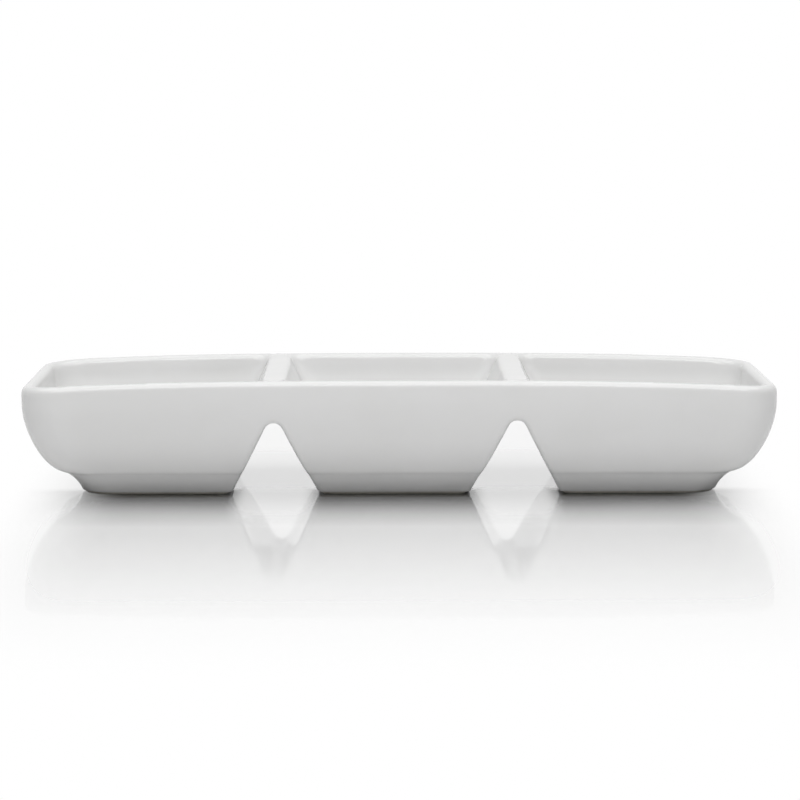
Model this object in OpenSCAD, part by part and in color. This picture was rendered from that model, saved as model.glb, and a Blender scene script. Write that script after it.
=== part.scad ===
// Three-section porcelain dish: one long tray with three wells, on three feet
// that two V-shaped notches part from each other. Millimetres, +Z up, origin
// on the table under the middle of the dish, +X along its length.

/* [Rim] */
// Length over the rim
length = 330; // [310:1:350]
// Width over the rim
width = 115; // [108:1:125]
// Height of the rim at the middle of the long sides
height = 53; // [51:0.2:55]
// How far the rim dips towards the two ends of the dish
rim_dip = 3.4; // [0:0.2:5]
// Thickness of the rounded rim, from outside to inside
rim_w = 6; // [5:0.5:7]
// Radius of the rim's corners, seen from above
corner_r = 17; // [15:1:20]

/* [Wells] */
// Height of the well floors above the table
floor_z = 8.5; // [8:0.5:11]
// How far the flat part of a well floor starts in from the rim
floor_inset = 34; // [30:1:36]
// Width of the flat top of the two ridges that part the wells
ridge_top_w = 6; // [4:0.5:9]
// How far the ridges dip below the rim at the middle of their length
ridge_dip = 0.4; // [0:0.2:2]

/* [Feet] */
// How far the feet stand in from the rim
foot_inset = 25; // [23:0.5:27]
// Height of the feet, up to where they run into the bowls
foot_h = 10.2; // [9:0.2:11]
// Width of the bare ring that each foot stands on
foot_ring_w = 5.5; // [4:0.5:8]
// Depth of the hollow inside each foot ring
foot_hollow = 2; // [1.4:0.2:3]

/* [Notches] */
// Centre of the left notch along the length
left_notch_x = -54.8; // [-58:0.2:-50]
// Centre of the right notch along the length
right_notch_x = 51; // [47:0.2:58]
// Top of the left notch above the table
left_notch_top = 34.5; // [28:0.5:36]
// Top of the right notch above the table
right_notch_top = 35.5; // [28:0.5:36]
// Lean of the left notch's sides away from upright, in degrees
left_notch_lean = 26; // [24:0.5:30]
// Lean of the right notch's sides away from upright, in degrees
right_notch_lean = 26.5; // [24:0.5:30]
// Radius of the round top of the notches
notch_r = 4.2; // [4:0.2:6]
// Radius that softens the edges where the notches meet the bowls
notch_edge_r = 1.8; // [1:0.2:2.4]

/* [Glaze] */
// Thickness of the glaze coat
glaze_t = 0.4; // [0.2:0.1:0.6]
// Height of the bare porcelain band at the bottom of the feet
dry_foot_h = 1.2; // [0.8:0.1:1.3]

/* [Smoothness] */
// Steps round each corner
corner_steps = 4; // [3:1:10]
// Steps along each curve of the profiles
curve_steps = 6; // [5:1:16]
// Steps along the long sides, which carry the dip of the rim
side_steps = 10; // [6:2:24]

/* [Hidden] */

notch_x = [left_notch_x, right_notch_x];
notch_top = [left_notch_top, right_notch_top];
notch_lean = [left_notch_lean, right_notch_lean];

// The two round halves of the lip end in gentle slopes, which meet along its crest
lip_r = rim_w / 2;
lip_slope = 10;
lip_z = height - lip_r / cos(lip_slope);
widest_z = 0.85 * height;

// The flat top of a ridge falls a little from its middle to its rounded edges
ridge_slope = 6;
ridge_edge_r = 2.5;
ridge_lean = 27;
// Radii of a well's corners beside a ridge, at the rim and at the floor
ridge_corner_top = 4;
ridge_corner_floor = 14;

// How far the feet flare out up to the bowls
foot_flare = 8.8;
// Radius of the corners of the hollows under the feet
hollow_corner_r = 9;
// Height at which the notches start to round out towards the table
toe_z = 1.2;

// How far a cutting shape runs past what it cuts, up or down
past = 4;
// How far the mouths of the wells widen above the rim, and the outside narrows
funnel = 8;

function mix(a, b, t) = a + (b - a) * t;
function ease(t) = let(u = min(max(t, 0), 1)) u * u * (3 - 2 * u);

function cubic(p, t) =
    pow(1 - t, 3) * p[0] + 3 * t * pow(1 - t, 2) * p[1]
    + 3 * t * t * (1 - t) * p[2] + pow(t, 3) * p[3];

function curve(p, n) = [for (i = [0:n]) cubic(p, i / n)];

function arc(centre, r, from, to, n) =
    [for (i = [0:n]) let(a = mix(from, to, i / n)) centre + r * [cos(a), sin(a)]];

function without_first(p) = [for (i = [1:len(p) - 1]) p[i]];

// A profile moved sideways into the porcelain, which lies on the right of its path
function sunk(p, depth) = [
    for (i = [0:len(p) - 1])
        let(
            before = p[max(i - 1, 0)],
            after = p[min(i + 1, len(p) - 1)],
            along = (after - before) / norm(after - before)
        )
        p[i] + depth * [along.y, -along.x]
];

// Profile of the outside as [distance in from the widest line, height], going up:
// the foot, the turn under the bowl, the bowl's long curve and the outer half of the lip,
// which ends in a gentle slope that the wells cut off along the crest
function outer_profile() = concat(
    [[foot_inset + 1, -0.7]],
    curve([
        [foot_inset - 0.08 * foot_flare, 0.8],
        [foot_inset - 0.24 * foot_flare, 0.48 * foot_h],
        [foot_inset - 0.68 * foot_flare, 0.9 * foot_h],
        [foot_inset - foot_flare, foot_h]
    ], 4),
    without_first(curve([
        [foot_inset - foot_flare, foot_h],
        [0.24 * foot_inset, 1.35 * foot_h],
        [0, 0.64 * height],
        [0, widest_z]
    ], curve_steps)),
    arc([lip_r, lip_z], lip_r, 180, 90 + lip_slope, 4),
    [[lip_r, height] + 2 * funnel * [1, tan(lip_slope)]]
);

// Profile of a well against the outer walls, going down from above the crest of the rim
function wall_profile() = concat(
    [[lip_r, height] + funnel * [-1, tan(lip_slope)]],
    arc([lip_r, lip_z], lip_r, 90 - lip_slope, 10, 3),
    curve([
        [rim_w + 0.3, lip_z - 1.5],
        [rim_w + 1, 0.56 * height],
        [0.46 * floor_inset, floor_z],
        [floor_inset, floor_z]
    ], curve_steps)
);

// Profile of a well against a ridge as [distance from the ridge's middle, height],
// in as many points as the wall profile
function ridge_profile() =
    let(
        fall = ridge_top_w / 2 * tan(ridge_slope),
        edge = [ridge_top_w / 2, height - fall - ridge_edge_r],
        side = edge + ridge_edge_r * [cos(ridge_lean), sin(ridge_lean)],
        drop = side.y - floor_z
    )
    concat(
        [[0, height] + funnel * [-1, tan(ridge_slope)]],
        arc(edge, ridge_edge_r, 90 - ridge_slope, ridge_lean + 12, 3),
        curve([
            side,
            side + 0.45 * drop * [tan(ridge_lean), -1],
            [side.x + 0.4 * drop, floor_z],
            [side.x + 0.64 * drop, floor_z]
        ], curve_steps)
    );

// How far the rim has dipped at a place x along the dish
function rim_dip_at(x) = rim_dip * pow(abs(2 * x / length), 3);

// The dip fades out down the bowl, so that the floors and the feet stay level
function dipped(x, z) = z - rim_dip_at(x) * ease((z - 0.25 * height) / (0.75 * height));

// One level outline: a rounded rectangle as [x, y, direction that it faces] points,
// anticlockwise, with its corner radii in the order +X+Y, -X+Y, -X-Y, +X-Y
function outline(x0, x1, y1, radii, along_x, along_y) =
    let(
        centres = [for (q = [0:3]) [
            (q == 0 || q == 3) ? x1 - radii[q] : x0 + radii[q],
            (q < 2 ? 1 : -1) * (y1 - radii[q])
        ]]
    )
    [
        for (q = [0:3])
            let(
                next = (q + 1) % 4,
                side_from = centres[q] + radii[q] * [cos(90 * q + 90), sin(90 * q + 90)],
                side_to = centres[next] + radii[next] * [cos(90 * q + 90), sin(90 * q + 90)],
                n = q % 2 == 0 ? along_x : along_y
            )
            each concat(
                [for (i = [0:corner_steps])
                    let(a = 90 * q + 90 * i / corner_steps)
                    concat(centres[q] + radii[q] * [cos(a), sin(a)], a)],
                [for (i = [1:1:n - 1]) concat(mix(side_from, side_to, i / n), 90 * q + 90)]
            )
    ];

// Skins a stack of rings, each with the same number of points, from the lowest up.
// Each end is closed by a ladder of narrow faces, from point i of the ring to point n - 1 - i.
module loft(rings) {
    n = len(rings[0]);
    top = (len(rings) - 1) * n;
    sides = [
        for (k = [0:len(rings) - 2], i = [0:n - 1])
            let(
                a = k * n + i,
                b = k * n + (i + 1) % n
            )
            each [[a, a + n, b + n], [a, b + n, b]]
    ];
    ladder = [
        for (i = [0:ceil(n / 2) - 2])
            let(j = n - 1 - i)
            i + 2 == j ? [i, i + 1, j] : [i, i + 1, j - 1, j]
    ];
    polyhedron(
        points = [for (ring = rings) each ring],
        faces = concat(
            sides,
            ladder,
            [for (f = ladder) [for (i = [len(f) - 1:-1:0]) f[i] + top]]
        ),
        convexity = 8
    );
}

// The whole outside with no notches, filled in, with its surface sunk by a depth
module filled_tray(depth) {
    profile = sunk(outer_profile(), depth);
    rings = [
        for (p = profile)
            let(r = mix(corner_r - depth, 0.75 * corner_r, p.x / foot_inset))
            [for (o = outline(p.x - length / 2, length / 2 - p.x, width / 2 - p.x,
                              [r, r, r, r], side_steps, 1))
                [o.x, o.y, dipped(o.x, p.y)]]
    ];
    loft(rings);
}

// Weight of the ridge's profile on the part of a well's outline that faces a ridge
function faces_ridge(section, direction) =
    cos(direction) > 0
    ? (section < 2 ? pow(cos(direction), 2) : 0)
    : (section > 0 ? pow(cos(direction), 2) : 0);

function ridge_dip_at(y) = ridge_dip * (1 - ease(abs(2 * y) / (width - 30)));

// The space of one well, with its wall sunk into the porcelain by a depth
module well(section, depth) {
    wall = sunk(wall_profile(), depth);
    ridge = sunk(ridge_profile(), depth);
    last = len(wall) - 1;
    rings = [
        for (i = [last:-1:0])
            let(
                x0 = section == 0 ? wall[i].x - length / 2 : notch_x[section - 1] + ridge[i].x,
                x1 = section == 2 ? length / 2 - wall[i].x : notch_x[section] - ridge[i].x,
                widened = i == 0 ? funnel : 0,
                by_ridge = mix(ridge_corner_top, ridge_corner_floor, i / last) + depth + widened,
                by_end = corner_r - lip_r + depth + widened,
                left_r = section == 0 ? by_end : by_ridge,
                right_r = section == 2 ? by_end : by_ridge
            )
            [for (o = outline(x0, x1, width / 2 - wall[i].x,
                              [right_r, left_r, left_r, right_r], 3, 4))
                let(
                    to_ridge = faces_ridge(section, o[2]),
                    z = mix(wall[i].y, ridge[i].y, to_ridge),
                    high = ease((z - 0.5 * height) / (0.5 * height))
                )
                [o.x, o.y, dipped(o.x, z) - to_ridge * high * ridge_dip_at(o.y)]]
    ];
    mouth = rings[last];
    loft(concat(rings, [[for (p = mouth) [p.x, p.y, height + 2 * past]]]));
}

// Half of a notch's section as [distance from its middle, height], going down from its top:
// the round top, the leaning side and the softened corner at the table
function notch_side(k) =
    let(
        lean = notch_lean[k],
        centre = [0, notch_top[k] - notch_r],
        start = centre + notch_r * [cos(lean), sin(lean)],
        toe = start + (start.y - toe_z) * [tan(lean), -1]
    )
    concat(
        arc(centre, notch_r, 90, lean, 4),
        [for (z = [0.75, 0.55, 0.4, 0.28, 0.19]) mix(toe, start, z)],
        [toe, toe + [1.1, -0.9], toe + [3.2, -1.9], toe + [7, -5]]
    );

// The space of one notch: sections that widen where they meet the faces of the bowls,
// so that the edges there come out rounded
module notch(k, depth) {
    side = notch_side(k);
    last = len(side) - 1;
    path = sunk(side, -depth);
    face = sunk(outer_profile(), depth);
    face_at = [for (p = face) [p.y, p.x]];
    // Each mouth as [how far it lies behind the face, how much wider the notch is there]
    mouth = [[-1, 1.15], [0.12, 0.55], [0.45, 0.16], [1, 0]];
    rings = [
        for (front = [1, -1], m = (front > 0 ? [0:3] : [3:-1:0]))
            let(
                wide = sunk(path, -notch_edge_r * mouth[m][1]),
                behind = notch_edge_r * mouth[m][0]
            )
            [for (j = [-last:last])
                let(
                    p = wide[abs(j)],
                    inset = lookup(p.y, face_at),
                    y = width / 2 - inset - behind
                )
                [notch_x[k] + (j < 0 ? -p.x : p.x), -front * y, p.y]]
    ];
    loft(rings);
}

// The hollow under one foot, inside the ring that it stands on
module foot_hollow_space(section, depth) {
    edge = foot_inset + foot_ring_w;
    notch_w = [for (k = [0:1]) notch_top[k] * tan(notch_lean[k]) + notch_r / 2 + foot_ring_w];
    x0 = section == 0 ? edge - length / 2 : notch_x[section - 1] + notch_w[section - 1];
    x1 = section == 2 ? length / 2 - edge : notch_x[section] - notch_w[section];
    // Each level as [distance in from the ring, height]
    levels = sunk([[0, -past], [0.2, 0.8], [1, foot_hollow - 0.35], [2.4, foot_hollow]], depth);
    loft([
        for (p = levels)
            let(r = hollow_corner_r - p.x)
            [for (o = outline(x0 + p.x, x1 - p.x, width / 2 - edge - p.x, [r, r, r, r], 1, 1))
                [o.x, o.y, p.y]]
    ]);
}

// The dish with every surface sunk by a depth, and its feet running on below the table
module dish(depth) {
    difference() {
        filled_tray(depth);
        for (section = [0:2]) {
            well(section, depth);
            foot_hollow_space(section, depth);
        }
        for (k = [0:1])
            notch(k, depth);
    }
}

// Everything under a height, to trim the feet with
module below(z) {
    translate([-length / 2, -width / 2, z - 2 * past])
        cube([length, width, 2 * past]);
}

// The fired body under the glaze, its feet ground flat where they stand
module porcelain_body() {
    color("ivory")
    resize([length - 2 * glaze_t, width - 2 * glaze_t, 0])
    difference() {
        dish(glaze_t);
        below(0);
    }
}

// The coat of clear-white glass over the whole body, wiped off the bottom of the feet
module glaze() {
    color("white")
    resize([length, width, 0])
    difference() {
        dish(0);
        dish(glaze_t);
        below(dry_foot_h);
    }
}

porcelain_body();
glaze();
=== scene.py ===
"""A three-section porcelain dish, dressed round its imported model.

The dish is two pieces. The glaze is a thin closed coat of clear-white glass, and the
porcelain under it shows only on the bare rings that the three feet stand on. Both are
made from the same curves as the solids, in much finer steps, and softened as a fired
glaze softens an edge. Profiles and places are in millimetres until a mesh is finished.
"""

import math

import bmesh
import bpy
import numpy as np
from mathutils import Matrix, Vector


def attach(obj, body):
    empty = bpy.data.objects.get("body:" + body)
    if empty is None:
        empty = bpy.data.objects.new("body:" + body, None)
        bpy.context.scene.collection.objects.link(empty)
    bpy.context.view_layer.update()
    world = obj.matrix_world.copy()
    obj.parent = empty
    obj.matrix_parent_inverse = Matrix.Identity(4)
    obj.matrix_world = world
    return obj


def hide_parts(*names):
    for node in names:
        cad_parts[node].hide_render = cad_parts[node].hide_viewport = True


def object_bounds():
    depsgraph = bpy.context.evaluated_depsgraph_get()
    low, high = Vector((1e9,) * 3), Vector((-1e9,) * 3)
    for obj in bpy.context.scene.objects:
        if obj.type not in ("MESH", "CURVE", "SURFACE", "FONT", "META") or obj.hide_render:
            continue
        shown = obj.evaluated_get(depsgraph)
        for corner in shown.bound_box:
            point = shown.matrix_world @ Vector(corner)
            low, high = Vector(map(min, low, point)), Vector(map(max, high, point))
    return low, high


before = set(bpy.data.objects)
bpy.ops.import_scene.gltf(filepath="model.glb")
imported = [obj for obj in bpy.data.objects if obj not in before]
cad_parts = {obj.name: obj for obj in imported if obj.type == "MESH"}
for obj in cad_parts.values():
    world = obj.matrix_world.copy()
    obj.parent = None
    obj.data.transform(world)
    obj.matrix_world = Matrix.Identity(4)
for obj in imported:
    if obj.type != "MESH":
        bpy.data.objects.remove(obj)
cad_low, cad_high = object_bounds()

MM = 0.001
LENGTH = (cad_high[0] - cad_low[0]) / MM
WIDTH = (cad_high[1] - cad_low[1]) / MM
HEIGHT = 53.0
GLAZE_T = 0.4
DRY_FOOT_H = 1.2

# The rim, whose two round halves meet along its crest, and its dip towards the ends
RIM_W = 6.0
RIM_DIP = 3.4
CORNER_R = 17.0
LIP_R = RIM_W / 2
LIP_SLOPE = 4.0
LIP_Z = HEIGHT - LIP_R / math.cos(math.radians(LIP_SLOPE))
WIDEST_Z = 0.85 * HEIGHT

# The wells and the two ridges between them
FLOOR_Z = 8.5
FLOOR_INSET = 34.0
RIDGE_TOP_W = 6.0
RIDGE_DIP = 0.4
RIDGE_DIP_W = WIDTH - 30
RIDGE_SLOPE = 2.0
RIDGE_EDGE_R = 2.5
RIDGE_LEAN = 27.0
RIDGE_CORNER_TOP = 4.0
RIDGE_CORNER_FLOOR = 14.0

# The feet, which run on below the table until they are trimmed
FOOT_INSET = 25.0
FOOT_FLARE = 8.8
FOOT_H = 10.2
FOOT_RING_W = 5.5
FOOT_HOLLOW = 2.0
HOLLOW_CORNER_R = 9.0
BELOW_TABLE = -3.0

# The notches, each as [centre along the length, top, lean of its sides in degrees]. From
# the toe's height down their sides round outwards, through points [outwards, up] from there.
NOTCHES = ((-54.8, 34.5, 26.0), (51.0, 35.5, 26.5))
NOTCH_R = 4.2
NOTCH_EDGE_R = 1.8
TOE_Z = 1.2
TOE_CURVE = ((1.1, -0.9), (3.2, -1.9), (7, -5))

# How far a cutting shape runs on past the porcelain, and how far a well's widens above it
PAST = 4.0
FUNNEL = 8.0

# The white of the table top as the camera sees it, as it lights the dish, and as it does
# so right under the dish, where painted shade darkens it
TABLE_WHITE = 0.95
TABLE_BOUNCE = 0.95
BOUNCE_PAINTED_SHADE = 0.66

# The reach in metres of the painted shade on the table in front of the feet, and its strength
PAINTED_SHADE_REACH = 0.07
PAINTED_SHADE_DEPTH = 1.7

# The share of the white room that shows in the table between and behind the feet, and
# in front of a notch, as painted light over the dish's shadow there
PAINTED_LIGHT_SHARE = 0.52

# Where the table turns white, each as the metres at which that starts and is complete:
# beyond the ends, from the front of the feet to the back, and far to the front and back
# Beyond the ends and behind the front of the feet this is painted light over the shadow
BESIDE = (0.12, 0.175)
BEHIND = (-0.032, -0.008)
FAR = (0.1, 0.42)

# Where light is painted onto the table in front of a notch, also in metres: from its middle
# it fades between these distances, and from the front it grows between these places
NOTCH_PAINTED_LIGHT = (0.009, 0.024)
BEFORE = (-0.15, -0.05)

# The room's white in a mirroring surface, where 1 is the white that the camera sees
ROOM_MIRRORED = 0.9

# The camera's place in millimetres, its turns in radians and its focal length in pixels
CAMERA_PLACE = (-9.58, -1365.0, 210.3)
CAMERA_PITCH = 0.1258
CAMERA_HEADING = 0.0074
CAMERA_ROLL = -0.0015
FOCAL_PX = 3054.0
IMAGE_PX = 800
SENSOR_W = 36.0

# The lamps, each as [name, place, size, watts], in metres, aimed at the dish
LAMPS = (
    ("overhead", (0, 0, 1.6), (2.8, 1.8), 23.5),
    ("front", (0, -1.03, 1.23), (1.8, 0.5), 11.2),
)

# How finely the curves are cut: the unit of the steps along a curve, the steps round a
# corner, and those along the length and the width of each level outline
FINE = 6
CORNER_STEPS = 4 * FINE
TRAY_STEPS = (60, 8)
WELL_STEPS = (20, 24)
HOLLOW_STEPS = (8, 8)

# The face size in millimetres and the rounds of smoothing of each surface of the glaze
OUTER_FACES = (1.3, 6)
INNER_FACES = (2.0, 3)

# The weights of the two turns of a round of smoothing: the second swells the form back
SMOOTHING = (0.55, -0.57)

# The height over a level bottom that still counts as part of it, and the angle in degrees
# from which its edge is crisp
LEVEL_H = 0.01
CRISP_ANGLE = 35.0


def mix(a, b, t):
    return a + (b - a) * t


def ease(t):
    u = np.clip(t, 0, 1)
    return u * u * (3 - 2 * u)


def turned(degrees):
    a = np.radians(degrees)
    return np.stack([np.cos(a), np.sin(a)], -1)


def cubic(points, n):
    """n + 1 points along a cubic curve."""
    p = np.array(points, float)
    t = np.linspace(0, 1, n + 1)[:, None]
    return ((1 - t) ** 3 * p[0] + 3 * t * (1 - t) ** 2 * p[1]
            + 3 * t * t * (1 - t) * p[2] + t ** 3 * p[3])


def arc(centre, r, start, end, n):
    return np.array(centre) + r * turned(np.linspace(start, end, n + 1))


def sunk(profile, depth):
    """A profile moved sideways into the porcelain, which lies on the right of its path."""
    before = profile[np.maximum(np.arange(len(profile)) - 1, 0)]
    after = profile[np.minimum(np.arange(len(profile)) + 1, len(profile) - 1)]
    along = after - before
    along /= np.linalg.norm(along, axis=1)[:, None]
    return profile + depth * np.stack([along[:, 1], -along[:, 0]], -1)


def slope(degrees):
    return math.tan(math.radians(degrees))


def outer_profile():
    """The outside as [distance in from the widest line, height], going up."""
    foot_top = FOOT_INSET - FOOT_FLARE
    return np.concatenate([
        [[FOOT_INSET + 1, BELOW_TABLE], [FOOT_INSET + 1, -0.7]],
        cubic([
            [FOOT_INSET - 0.08 * FOOT_FLARE, 0.8],
            [FOOT_INSET - 0.24 * FOOT_FLARE, 0.48 * FOOT_H],
            [FOOT_INSET - 0.68 * FOOT_FLARE, 0.9 * FOOT_H],
            [foot_top, FOOT_H],
        ], 4 * FINE),
        cubic([
            [foot_top, FOOT_H],
            [0.24 * FOOT_INSET, 1.35 * FOOT_H],
            [0, 0.64 * HEIGHT],
            [0, WIDEST_Z],
        ], 6 * FINE)[1:],
        arc([LIP_R, LIP_Z], LIP_R, 180, 90 + LIP_SLOPE, 4 * FINE),
        [np.array([LIP_R, HEIGHT]) + 2 * FUNNEL * np.array([1, slope(LIP_SLOPE)])],
    ])


def wall_profile():
    """A well against the outer walls, going down from above the crest of the rim."""
    return np.concatenate([
        [np.array([LIP_R, HEIGHT]) + FUNNEL * np.array([-1, slope(LIP_SLOPE)])],
        arc([LIP_R, LIP_Z], LIP_R, 90 - LIP_SLOPE, 10, 3 * FINE),
        cubic([
            [RIM_W + 0.3, LIP_Z - 1.5],
            [RIM_W + 1, 0.56 * HEIGHT],
            [0.46 * FLOOR_INSET, FLOOR_Z],
            [FLOOR_INSET, FLOOR_Z],
        ], 6 * FINE),
    ])


def ridge_profile():
    """A well against a ridge as [distance from the ridge's middle, height], going down."""
    fall = RIDGE_TOP_W / 2 * slope(RIDGE_SLOPE)
    edge = np.array([RIDGE_TOP_W / 2, HEIGHT - fall - RIDGE_EDGE_R])
    side = edge + RIDGE_EDGE_R * turned(RIDGE_LEAN)
    drop = side[1] - FLOOR_Z
    return np.concatenate([
        [np.array([0, HEIGHT]) + FUNNEL * np.array([-1, slope(RIDGE_SLOPE)])],
        arc(edge, RIDGE_EDGE_R, 90 - RIDGE_SLOPE, RIDGE_LEAN + 12, 3 * FINE),
        cubic([
            side,
            side + 0.45 * drop * np.array([slope(RIDGE_LEAN), -1]),
            [side[0] + 0.4 * drop, FLOOR_Z],
            [side[0] + 0.64 * drop, FLOOR_Z],
        ], 6 * FINE),
    ])


def dipped(x, z):
    """The rim dips towards the ends, and the dip fades out down the bowls."""
    dip = RIM_DIP * np.abs(2 * x / LENGTH) ** 3
    return z - dip * ease((z - 0.25 * HEIGHT) / (0.75 * HEIGHT))


def outline(x0, x1, y1, radii, along_x, along_y):
    """A level rounded rectangle as rows of x, y and the direction that it faces."""
    corners = ((x1, y1), (x0, y1), (x0, -y1), (x1, -y1))
    centres = [
        (x - math.copysign(r, x - (x0 + x1) / 2), y - math.copysign(r, y))
        for (x, y), r in zip(corners, radii)
    ]
    rows = []
    for q in range(4):
        facing = 90 * q + np.linspace(0, 90, CORNER_STEPS + 1)
        places = np.array(centres[q]) + radii[q] * turned(facing)
        rows.append(np.column_stack([places, facing]))
        after = (q + 1) % 4
        start = places[-1]
        end = np.array(centres[after]) + radii[after] * turned(90 * after)
        n = along_y if q % 2 else along_x
        t = np.linspace(0, 1, n + 1)[1:-1, None]
        rows.append(np.column_stack([mix(start, end, t), np.full(n - 1, 90.0 * q + 90)]))
    return np.concatenate(rows)


def new_object(name, vertices, faces):
    mesh = bpy.data.meshes.new(name)
    mesh.from_pydata(vertices, [], faces)
    mesh.update()
    obj = bpy.data.objects.new(name, mesh)
    bpy.context.scene.collection.objects.link(obj)
    return obj


def loft(name, rings):
    """Skins a stack of rings, from the lowest up, and closes each end with narrow rungs."""
    count, n = len(rings), len(rings[0])
    a = np.arange(n)
    b = (a + 1) % n
    faces = []
    for k in range(count - 1):
        low, high = k * n, (k + 1) * n
        faces += np.stack([low + a, low + b, high + b, high + a], -1).tolist()
    last = (count - 1) * n
    for i in range((n + 1) // 2 - 1):
        j = n - 1 - i
        rung = [i, i + 1, j] if i + 2 == j else [i, i + 1, j - 1, j]
        faces.append(rung[::-1])
        faces.append([last + v for v in rung])
    return new_object(name, np.concatenate(rings), faces)


def filled_tray(depth):
    rings = []
    for inset, z in sunk(outer_profile(), depth):
        r = mix(CORNER_R - depth, 0.75 * CORNER_R, max(inset, 0) / FOOT_INSET)
        o = outline(inset - LENGTH / 2, LENGTH / 2 - inset, WIDTH / 2 - inset,
                    [r] * 4, *TRAY_STEPS)
        rings.append(np.column_stack([o[:, 0], o[:, 1], dipped(o[:, 0], z)]))
    return loft("tray", rings)


def well(section, depth):
    """The space of one well, with its wall sunk into the porcelain by a depth."""
    wall = sunk(wall_profile(), depth)
    ridge = sunk(ridge_profile(), depth)
    last = len(wall) - 1
    rings = []
    for i in range(last, -1, -1):
        widened = FUNNEL if i == 0 else 0
        by_ridge = mix(RIDGE_CORNER_TOP, RIDGE_CORNER_FLOOR, i / last) + depth + widened
        by_end = CORNER_R - LIP_R + depth + widened
        left_r, right_r = by_ridge, by_ridge
        if section == 0:
            x0, left_r = wall[i][0] - LENGTH / 2, by_end
        else:
            x0 = NOTCHES[section - 1][0] + ridge[i][0]
        if section == 2:
            x1, right_r = LENGTH / 2 - wall[i][0], by_end
        else:
            x1 = NOTCHES[section][0] - ridge[i][0]
        o = outline(x0, x1, WIDTH / 2 - wall[i][0],
                    [right_r, left_r, left_r, right_r], *WELL_STEPS)
        facing = np.cos(np.radians(o[:, 2]))
        has_ridge = np.where(facing > 0, section < 2, section > 0)
        to_ridge = np.where(has_ridge, facing ** 2, 0)
        z = mix(wall[i][1], ridge[i][1], to_ridge)
        dip = RIDGE_DIP * (1 - ease(np.abs(2 * o[:, 1]) / RIDGE_DIP_W))
        dip = dip * to_ridge * ease((z - 0.5 * HEIGHT) / (0.5 * HEIGHT))
        rings.append(np.column_stack([o[:, 0], o[:, 1], dipped(o[:, 0], z) - dip]))
    mouth = rings[-1].copy()
    mouth[:, 2] = HEIGHT + 2 * PAST
    return loft("well", rings + [mouth])


def notch_side(top, lean):
    """Half of a notch as [distance from its middle, height], going down from its top."""
    centre = np.array([0, top - NOTCH_R])
    start = centre + NOTCH_R * turned(lean)
    toe = start + (start[1] - TOE_Z) * np.array([slope(lean), -1])
    side = mix(start, toe, np.linspace(0, 1, 8 * FINE)[1:, None])
    rounded = toe + np.array(TOE_CURVE)
    return np.concatenate([arc(centre, NOTCH_R, 90, lean, 4 * FINE), side, rounded])


def notch(k, depth):
    """The space of one notch, which widens where it meets the faces of the bowls."""
    x, top, lean = NOTCHES[k]
    path = sunk(notch_side(top, lean), -depth)
    face = sunk(outer_profile(), depth)
    behind = np.linspace(-1, 1, 3 * FINE)
    # A quarter circle behind the face, and the slope of its start in front of it
    widths = np.where(behind > 0, 1 - np.sqrt(1 - (1 - np.clip(behind, 0, 1)) ** 2),
                      1 - behind * 1.2)
    rings = []
    for front in (1, -1):
        order = range(len(behind)) if front > 0 else range(len(behind) - 1, -1, -1)
        for m in order:
            wide = sunk(path, -NOTCH_EDGE_R * widths[m])
            inset = np.interp(wide[:, 1], face[:, 1], face[:, 0])
            y = -front * (WIDTH / 2 - inset - NOTCH_EDGE_R * behind[m])
            right = np.column_stack([x + wide[:, 0], y, wide[:, 1]])
            left = np.column_stack([x - wide[:, 0], y, wide[:, 1]])
            rings.append(np.concatenate([left[:0:-1], right]))
    return loft("notch", rings)


def foot_hollow(section, depth):
    """The hollow under one foot, inside the ring that it stands on."""
    edge = FOOT_INSET + FOOT_RING_W
    half = [top * slope(lean) + NOTCH_R / 2 + FOOT_RING_W for _, top, lean in NOTCHES]
    x0 = edge - LENGTH / 2 if section == 0 else NOTCHES[section - 1][0] + half[section - 1]
    x1 = LENGTH / 2 - edge if section == 2 else NOTCHES[section][0] - half[section]
    levels = sunk(np.array([[0, -PAST], [0.2, 0.8], [1, FOOT_HOLLOW - 0.35],
                            [2.4, FOOT_HOLLOW]], float), depth)
    rings = []
    for inset, z in levels:
        o = outline(x0 + inset, x1 - inset, WIDTH / 2 - edge - inset,
                    [HOLLOW_CORNER_R - inset] * 4, *HOLLOW_STEPS)
        rings.append(np.column_stack([o[:, 0], o[:, 1], np.full(len(o), z)]))
    return loft("hollow", rings)


def evaluated(obj):
    """A new mesh of the object with its modifiers applied."""
    bpy.context.view_layer.update()
    depsgraph = bpy.context.evaluated_depsgraph_get()
    return bpy.data.meshes.new_from_object(obj.evaluated_get(depsgraph), depsgraph=depsgraph)


def removed(*objects):
    for obj in objects:
        mesh = obj.data
        bpy.data.objects.remove(obj)
        bpy.data.meshes.remove(mesh)


def cut(obj, tools):
    """Cuts each tool from the object, and removes the tools."""
    for tool in tools:
        modifier = obj.modifiers.new("cut", "BOOLEAN")
        modifier.operation = "DIFFERENCE"
        modifier.solver = "MANIFOLD"
        modifier.object = tool
    mesh = evaluated(obj)
    removed(obj, *tools)
    return mesh


def coordinates(mesh):
    co = np.empty(len(mesh.vertices) * 3)
    mesh.vertices.foreach_get("co", co)
    return co.reshape(-1, 3)


def relaxed(mesh, rounds):
    """Smooths away noise and rounds creases, with hardly any shrinking of round forms."""
    co = coordinates(mesh)
    edges = np.empty(len(mesh.edges) * 2, int)
    mesh.edges.foreach_get("vertices", edges)
    a, b = edges.reshape(-1, 2).T
    ends, others = np.concatenate([a, b]), np.concatenate([b, a])
    count = np.maximum(np.bincount(ends, minlength=len(co)), 1)[:, None]
    for weight in SMOOTHING * rounds:
        mean = np.stack([np.bincount(ends, co[others, k], len(co)) for k in range(3)], -1)
        co += weight * (mean / count - co)
    mesh.vertices.foreach_set("co", co.ravel())
    mesh.update()


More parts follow.
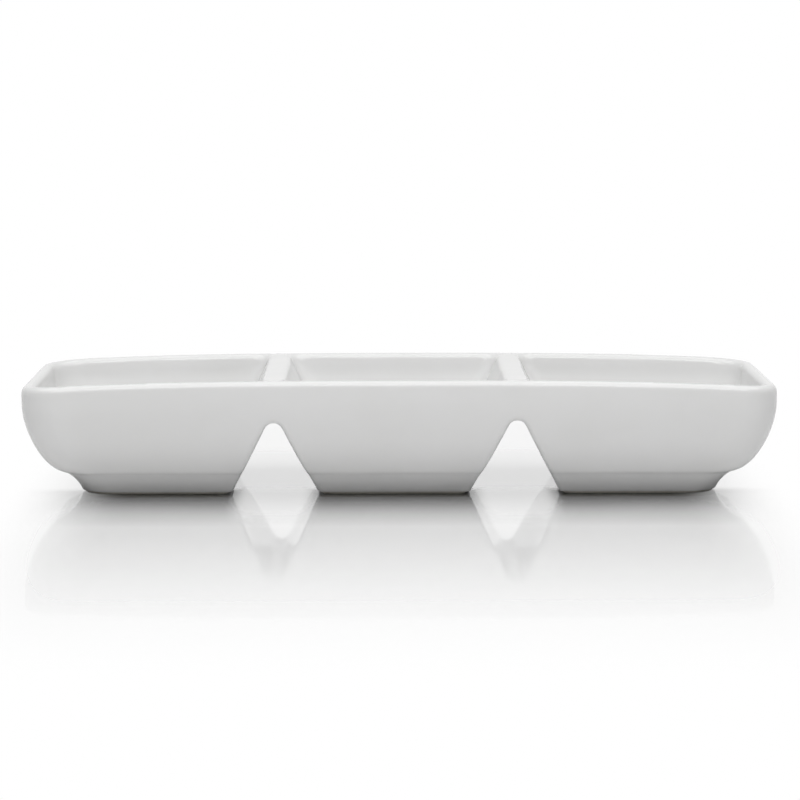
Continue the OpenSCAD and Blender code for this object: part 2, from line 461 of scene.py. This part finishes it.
def dish_surface(depth, voxel, rounds):
    """The whole closed surface of the dish, sunk by a depth, in even faces."""
    tools = [well(s, depth) for s in range(3)] + [foot_hollow(s, depth) for s in range(3)]
    tools += [notch(k, depth) for k in range(2)]
    exact = bpy.data.objects.new("exact", cut(filled_tray(depth), tools))
    bpy.context.scene.collection.objects.link(exact)
    even = bpy.data.objects.new("even", exact.data.copy())
    bpy.context.scene.collection.objects.link(even)
    remesh = even.modifiers.new("even", "REMESH")
    remesh.mode = "VOXEL"
    remesh.voxel_size = voxel
    wrap = even.modifiers.new("wrap", "SHRINKWRAP")
    wrap.target = exact
    mesh = evaluated(even)
    removed(even, exact)
    relaxed(mesh, rounds)
    return mesh


def trimmed(bm, z):
    """Cuts away everything below a height and closes what was cut with level faces."""
    everything = bm.verts[:] + bm.edges[:] + bm.faces[:]
    bmesh.ops.bisect_plane(bm, geom=everything, plane_co=(0, 0, z), plane_no=(0, 0, 1),
                           clear_inner=True)
    rim = [e for e in bm.edges if len(e.link_faces) == 1]
    filled = bmesh.ops.triangle_fill(bm, edges=rim, use_beauty=True, normal=(0, 0, -1))
    for face in filled["geom"]:
        if isinstance(face, bmesh.types.BMFace) and face.normal.z > 0:
            face.normal_flip()


def finished(name, bm, bottom):
    """A smooth piece in metres, with the edges of its level bottom kept crisp."""
    mesh = bpy.data.meshes.new(name)
    for face in bm.faces:
        face.smooth = True
    for edge in bm.edges:
        at_bottom = all(v.co.z < bottom + LEVEL_H for v in edge.verts)
        if len(edge.link_faces) == 2 and at_bottom:
            edge.smooth = edge.calc_face_angle(0) < math.radians(CRISP_ANGLE)
    bm.to_mesh(mesh)
    bm.free()
    mesh.transform(Matrix.Scale(MM, 4))
    mesh.vertices.foreach_set("co", np.clip(coordinates(mesh), cad_low, cad_high).ravel())
    obj = bpy.data.objects.new(name, mesh)
    bpy.context.scene.collection.objects.link(obj)
    return obj


def porcelain_piece(inner):
    """The fired body under the glaze, standing on its bare foot rings."""
    bm = bmesh.new()
    bm.from_mesh(inner)
    trimmed(bm, 0)
    return finished("fired_body", bm, 0)


def glaze_piece(outer, inner):
    """The coat of glaze: the outer surface, and the inner one turned inside out."""
    bm = bmesh.new()
    bm.from_mesh(inner)
    bmesh.ops.reverse_faces(bm, faces=bm.faces[:])
    bm.from_mesh(outer)
    trimmed(bm, DRY_FOOT_H)
    return finished("glaze_coat", bm, DRY_FOOT_H)


def calculate(tree, operation, *values):
    """A math node, whose values are numbers or the outputs of other nodes."""
    node = tree.nodes.new("ShaderNodeMath")
    node.operation = operation
    for socket, value in zip(node.inputs, values):
        if isinstance(value, (int, float)):
            socket.default_value = value
        else:
            tree.links.new(value, socket)
    return node.outputs["Value"]


class Look:
    """A node material, with short calls for the nodes that the looks here use."""

    def __init__(self, name):
        self.material = bpy.data.materials.new(name)
        self.material.use_nodes = True
        self.tree = self.material.node_tree
        self.nodes = self.tree.nodes
        self.links = self.tree.links
        self.shader = self.nodes["Principled BSDF"]
        self.place = self.nodes.new("ShaderNodeTexCoord").outputs["Object"]

    def set(self, **values):
        for name, value in values.items():
            self.shader.inputs[name.replace("_", " ")].default_value = value

    def noise(self, scale, detail=2.0, roughness=0.5):
        node = self.nodes.new("ShaderNodeTexNoise")
        node.inputs["Scale"].default_value = scale
        node.inputs["Detail"].default_value = detail
        node.inputs["Roughness"].default_value = roughness
        self.links.new(self.place, node.inputs["Vector"])
        return node.outputs["Fac"]

    def specks(self, scale, size):
        """1 in scattered round specks, and 0 elsewhere."""
        node = self.nodes.new("ShaderNodeTexVoronoi")
        node.inputs["Scale"].default_value = scale
        self.links.new(self.place, node.inputs["Vector"])
        return self.ramp(node.outputs["Distance"], size, 0.3 * size, 0, 1)

    def ramp(self, value, low, high, out_low, out_high):
        node = self.nodes.new("ShaderNodeMapRange")
        node.interpolation_type = "SMOOTHSTEP"
        for name, number in zip(("From Min", "From Max", "To Min", "To Max"),
                                (low, high, out_low, out_high)):
            node.inputs[name].default_value = number
        self.links.new(value, node.inputs["Value"])
        return node.outputs["Result"]

    def along(self, axis):
        """Where a point lies along an axis of the dish."""
        node = self.nodes.new("ShaderNodeSeparateXYZ")
        self.links.new(self.place, node.inputs[0])
        return node.outputs[axis]

    def times(self, a, b):
        return calculate(self.tree, "MULTIPLY", a, b)

    def greatest(self, a, b):
        return calculate(self.tree, "MAXIMUM", a, b)

    def absolute(self, value):
        return calculate(self.tree, "ABSOLUTE", value)

    def inverted(self, value):
        """1 less the value."""
        return calculate(self.tree, "SUBTRACT", 1, value)

    def blend(self, factor, a, b):
        node = self.nodes.new("ShaderNodeMix")
        node.data_type = "RGBA"
        self.links.new(factor, node.inputs["Factor"])
        for socket, colour in ((node.inputs[6], a), (node.inputs[7], b)):
            if isinstance(colour, tuple):
                socket.default_value = colour + (1,)
            else:
                self.links.new(colour, socket)
        return node.outputs[2]

    def bump(self, height, distance, below=None):
        node = self.nodes.new("ShaderNodeBump")
        node.inputs["Strength"].default_value = 1
        node.inputs["Distance"].default_value = distance
        self.links.new(height, node.inputs["Height"])
        if below is not None:
            self.links.new(below, node.inputs["Normal"])
        return node.outputs["Normal"]

    def wire(self, **values):
        for name, value in values.items():
            self.links.new(value, self.shader.inputs[name.replace("_", " ")])


def glaze_material():
    """Neutral white glaze: a soft mottle, a faint swell of the surface, rare pinholes."""
    look = Look("white glaze")
    mottle = look.ramp(look.noise(26, 3), 0.35, 0.65, 0, 1)
    pinholes = look.specks(260, 0.035)
    colour = look.blend(mottle, (0.884, 0.884, 0.878), (0.902, 0.902, 0.899))
    colour = look.blend(look.times(pinholes, 0.25), colour, (0.52, 0.50, 0.46))
    roughness = look.ramp(look.noise(60, 4), 0.3, 0.7, 0.055, 0.085)
    swell = look.bump(look.noise(95, 1.5), 0.000012)
    pits = look.bump(look.times(pinholes, -1), 0.00002, swell)
    look.wire(Base_Color=colour, Roughness=roughness, Normal=pits)
    look.set(IOR=1.52)
    return look.material


def porcelain_material():
    """Bare fired porcelain: warm and matt, with a fine grain and grey kiln scuffs."""
    look = Look("bare porcelain")
    grain = look.noise(2600, 3)
    scuffs = look.ramp(look.noise(240, 5, 0.6), 0.56, 0.72, 0, 0.5)
    colour = look.blend(look.ramp(grain, 0.3, 0.7, 0, 1),
                        (0.74, 0.71, 0.65), (0.82, 0.79, 0.73))
    colour = look.blend(scuffs, colour, (0.56, 0.54, 0.50))
    roughness = look.ramp(grain, 0.3, 0.7, 0.62, 0.85)
    look.wire(Base_Color=colour, Roughness=roughness, Normal=look.bump(grain, 0.00003))
    return look.material


def dress(obj, material, node):
    obj.data.materials.clear()
    obj.data.materials.append(material)
    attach(obj, "root")
    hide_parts(node)


def floor_material():
    """A glossy white table top. The camera sees it give way to the white room round the dish.

    The photograph's table is shaded in front of the feet and is nearly white beside, between
    and behind them.
    """
    look = Look("white table")
    look.set(Roughness=0.03, IOR=1.5)
    camera_ray = look.nodes.new("ShaderNodeLightPath").outputs["Is Camera Ray"]
    across = look.along("Y")
    beside = look.ramp(look.absolute(look.along("X")), *BESIDE, 0, 1)
    behind = look.ramp(across, *BEHIND, 0, 1)
    far = look.ramp(look.absolute(across), *FAR, 0, 1)

    # Painted shade: the table's colour darkens where the dish is near, deepening its shadow
    shade = look.nodes.new("ShaderNodeAmbientOcclusion")
    shade.inputs["Distance"].default_value = PAINTED_SHADE_REACH
    light = calculate(look.tree, "POWER", shade.outputs["AO"], PAINTED_SHADE_DEPTH)
    light = look.greatest(light, look.greatest(beside, behind))
    seen = look.blend(light, (0, 0, 0), (TABLE_WHITE,) * 3)
    # Painted shade in the table's bounced light: darker where the dish is near
    bounced = look.blend(shade.outputs["AO"], (BOUNCE_PAINTED_SHADE,) * 3, (TABLE_BOUNCE,) * 3)
    look.wire(Base_Color=look.blend(camera_ray, bounced, seen))

    # Painted light: the table shows white before the notches and between and behind the feet
    notch_painted_light = 0
    for x, _, _ in NOTCHES:
        aside = look.absolute(calculate(look.tree, "SUBTRACT", look.along("X"), x * MM))
        notch_painted_light = look.greatest(notch_painted_light, look.ramp(aside, *NOTCH_PAINTED_LIGHT, 1, 0))
    before = look.times(notch_painted_light, look.ramp(across, *BEFORE, 0, 1))
    painted_light_mask = look.greatest(before, behind)
    # Painted light: beyond the ends the table turns white over the dish's shadow
    kept = look.times(look.inverted(beside), look.inverted(far))
    kept = look.times(kept, look.ramp(painted_light_mask, 0, 1, 1, 1 - PAINTED_LIGHT_SHARE))
    # From below the table doesn't hide the dish's underside
    under = look.nodes.new("ShaderNodeNewGeometry").outputs["Backfacing"]
    kept = look.times(kept, look.inverted(under))
    clear = look.nodes.new("ShaderNodeBsdfTransparent")
    fade = look.nodes.new("ShaderNodeMixShader")
    look.links.new(look.times(camera_ray, look.inverted(kept)), fade.inputs[0])
    look.links.new(look.shader.outputs[0], fade.inputs[1])
    look.links.new(clear.outputs[0], fade.inputs[2])
    look.links.new(fade.outputs[0], look.nodes["Material Output"].inputs["Surface"])
    return look.material


def make_floor():
    """The table that the dish stands on, wide enough to fill the view to the horizon."""
    half = 6.0
    floor = new_object("floor", [(-half, -half, 0), (half, -half, 0), (half, half, 0),
                                 (-half, half, 0)], [(0, 1, 2, 3)])
    floor.data.materials.append(floor_material())


def make_camera():
    """The photograph's camera, from a fit to the dish's outline, then set a little."""
    level = math.cos(CAMERA_PITCH)
    forward = Vector((math.sin(CAMERA_HEADING) * level, math.cos(CAMERA_HEADING) * level,
                      -math.sin(CAMERA_PITCH)))
    data = bpy.data.cameras.new("camera")
    data.sensor_width = SENSOR_W
    data.lens = FOCAL_PX * SENSOR_W / IMAGE_PX
    data.clip_start = 0.01
    camera = bpy.data.objects.new("camera", data)
    camera.location = Vector(CAMERA_PLACE) * MM
    turn = Matrix.Rotation(CAMERA_ROLL, 3, "Z")
    camera.rotation_euler = (forward.to_track_quat("-Z", "Y").to_matrix() @ turn).to_euler()
    bpy.context.scene.collection.objects.link(camera)
    bpy.context.scene.camera = camera


def soft_light(name, place, size, watts):
    """A lamp aimed at the middle of the dish."""
    data = bpy.data.lights.new(name, "AREA")
    data.shape = "RECTANGLE"
    data.size, data.size_y = size
    data.energy = watts
    lamp = bpy.data.objects.new(name, data)
    lamp.location = place
    aim = Vector((0, 0, 0)) - Vector(place)
    lamp.rotation_euler = aim.to_track_quat("-Z", "Y").to_euler()
    bpy.context.scene.collection.objects.link(lamp)


def make_world():
    """A white room that is seen and mirrored. The lamps alone light the dish."""
    world = bpy.data.worlds.new("room")
    bpy.context.scene.world = world
    world.use_nodes = True
    tree = world.node_tree
    path = tree.nodes.new("ShaderNodeLightPath")
    mirrored = calculate(tree, "MAXIMUM", path.outputs["Is Glossy Ray"],
                         path.outputs["Is Transmission Ray"])
    dimmed = calculate(tree, "MULTIPLY", mirrored, ROOM_MIRRORED)
    strength = calculate(tree, "MAXIMUM", dimmed, path.outputs["Is Camera Ray"])
    background = tree.nodes["Background"]
    tree.links.new(strength, background.inputs["Strength"])
    background.inputs["Color"].default_value = (1, 1, 1, 1)


outer_surface = dish_surface(0, *OUTER_FACES)
inner_surface = dish_surface(GLAZE_T, *INNER_FACES)
porcelain, glaze = porcelain_material(), glaze_material()
dress(porcelain_piece(inner_surface), porcelain, "porcelain_body")
dress(glaze_piece(outer_surface, inner_surface), glaze, "glaze")
bpy.data.meshes.remove(outer_surface)
bpy.data.meshes.remove(inner_surface)

# The solids that the pieces stand for carry the same materials
for node, material in (("porcelain_body", porcelain), ("glaze", glaze)):
    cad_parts[node].data.materials.clear()
    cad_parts[node].data.materials.append(material)

make_floor()
make_camera()
make_world()
for lamp in LAMPS:
    soft_light(*lamp)
bpy.context.scene.view_settings.view_transform = "Standard"
